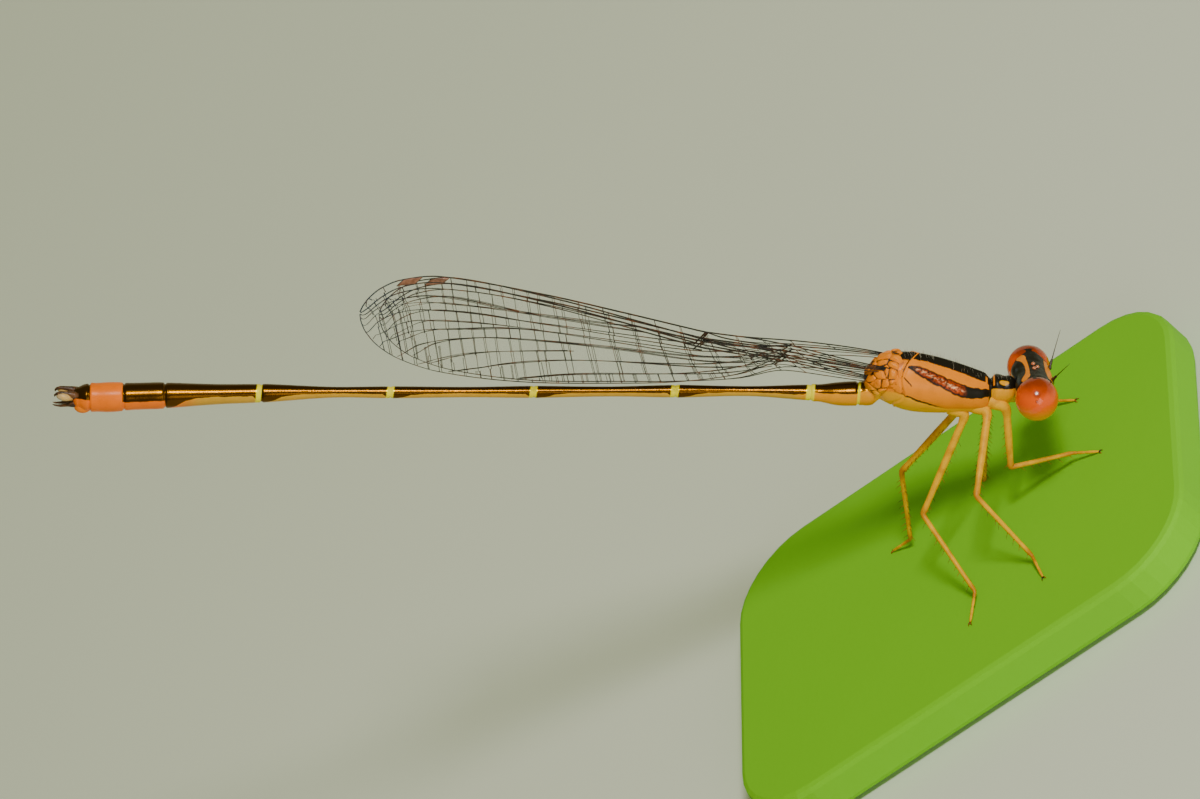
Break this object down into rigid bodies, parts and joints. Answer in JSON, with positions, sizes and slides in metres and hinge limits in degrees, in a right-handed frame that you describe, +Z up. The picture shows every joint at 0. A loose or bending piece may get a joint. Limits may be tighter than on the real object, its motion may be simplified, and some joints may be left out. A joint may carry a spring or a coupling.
{
  "type": "damselfly",
  "caption": "Life-size still model of a slender orange and black damselfly with closed wings, standing head down on a small flat base.",
  "frame": {"origin": "centre of the base's underside", "axes": "+Z up, out of the base's top; +X along the base towards the insect's head; +Y to the insect's left"},
  "size_m": [0.031, 0.015, 0.0287],
  "materials": {
    "thorax_orange": "glossy orange cuticle with black stripes",
    "tail_orange": "glossy bright orange cuticle",
    "abdomen_black": "glossy black cuticle, tan below with yellow rings",
    "head_black": "black cuticle with orange markings",
    "eye_red": "very glossy orange red with a darker cap",
    "leg_amber": "amber cuticle with short bristles",
    "horn_dark": "dark brown horny cuticle",
    "wing_clear": "clear membrane with dark veins",
    "stand_plastic": "satin pale plastic"
  },
  "bodies": {
    "root": {"abdomen_01": "abdomen_black", "abdomen_02": "abdomen_black", "abdomen_03": "abdomen_black", "abdomen_04": "abdomen_black", "abdomen_05": "abdomen_black", "abdomen_06": "abdomen_black", "abdomen_07": "abdomen_black", "abdomen_08": "abdomen_black", "abdomen_09": "tail_orange", "abdomen_10": "abdomen_black", "antenna_left": "horn_dark", "antenna_right": "horn_dark", "cercus_left": "horn_dark", "cercus_right": "horn_dark", "coxa_fore_left": "leg_amber", "coxa_fore_right": "leg_amber", "coxa_hind_left": "leg_amber", "coxa_hind_right": "leg_amber", "coxa_mid_left": "leg_amber", "coxa_mid_right": "leg_amber", "eye_left": "eye_red", "eye_right": "eye_red", "femur_fore_left": "leg_amber", "femur_fore_right": "leg_amber", "femur_hind_left": "leg_amber", "femur_hind_right": "leg_amber", "femur_mid_left": "leg_amber", "femur_mid_right": "leg_amber", "forewing_left": "wing_clear", "forewing_right": "wing_clear", "head": "head_black", "hindwing_left": "wing_clear", "hindwing_right": "wing_clear", "labium": "leg_amber", "paraproct_left": "horn_dark", "paraproct_right": "horn_dark", "prothorax": "head_black", "stand_base": "stand_plastic", "tarsus_fore_left": "leg_amber", "tarsus_fore_right": "leg_amber", "tarsus_hind_left": "leg_amber", "tarsus_hind_right": "leg_amber", "tarsus_mid_left": "leg_amber", "tarsus_mid_right": "leg_amber", "thorax": "thorax_orange", "tibia_fore_left": "leg_amber", "tibia_fore_right": "leg_amber", "tibia_hind_left": "leg_amber", "tibia_hind_right": "leg_amber", "tibia_mid_left": "leg_amber", "tibia_mid_right": "leg_amber"}
  },
  "joints": []
}
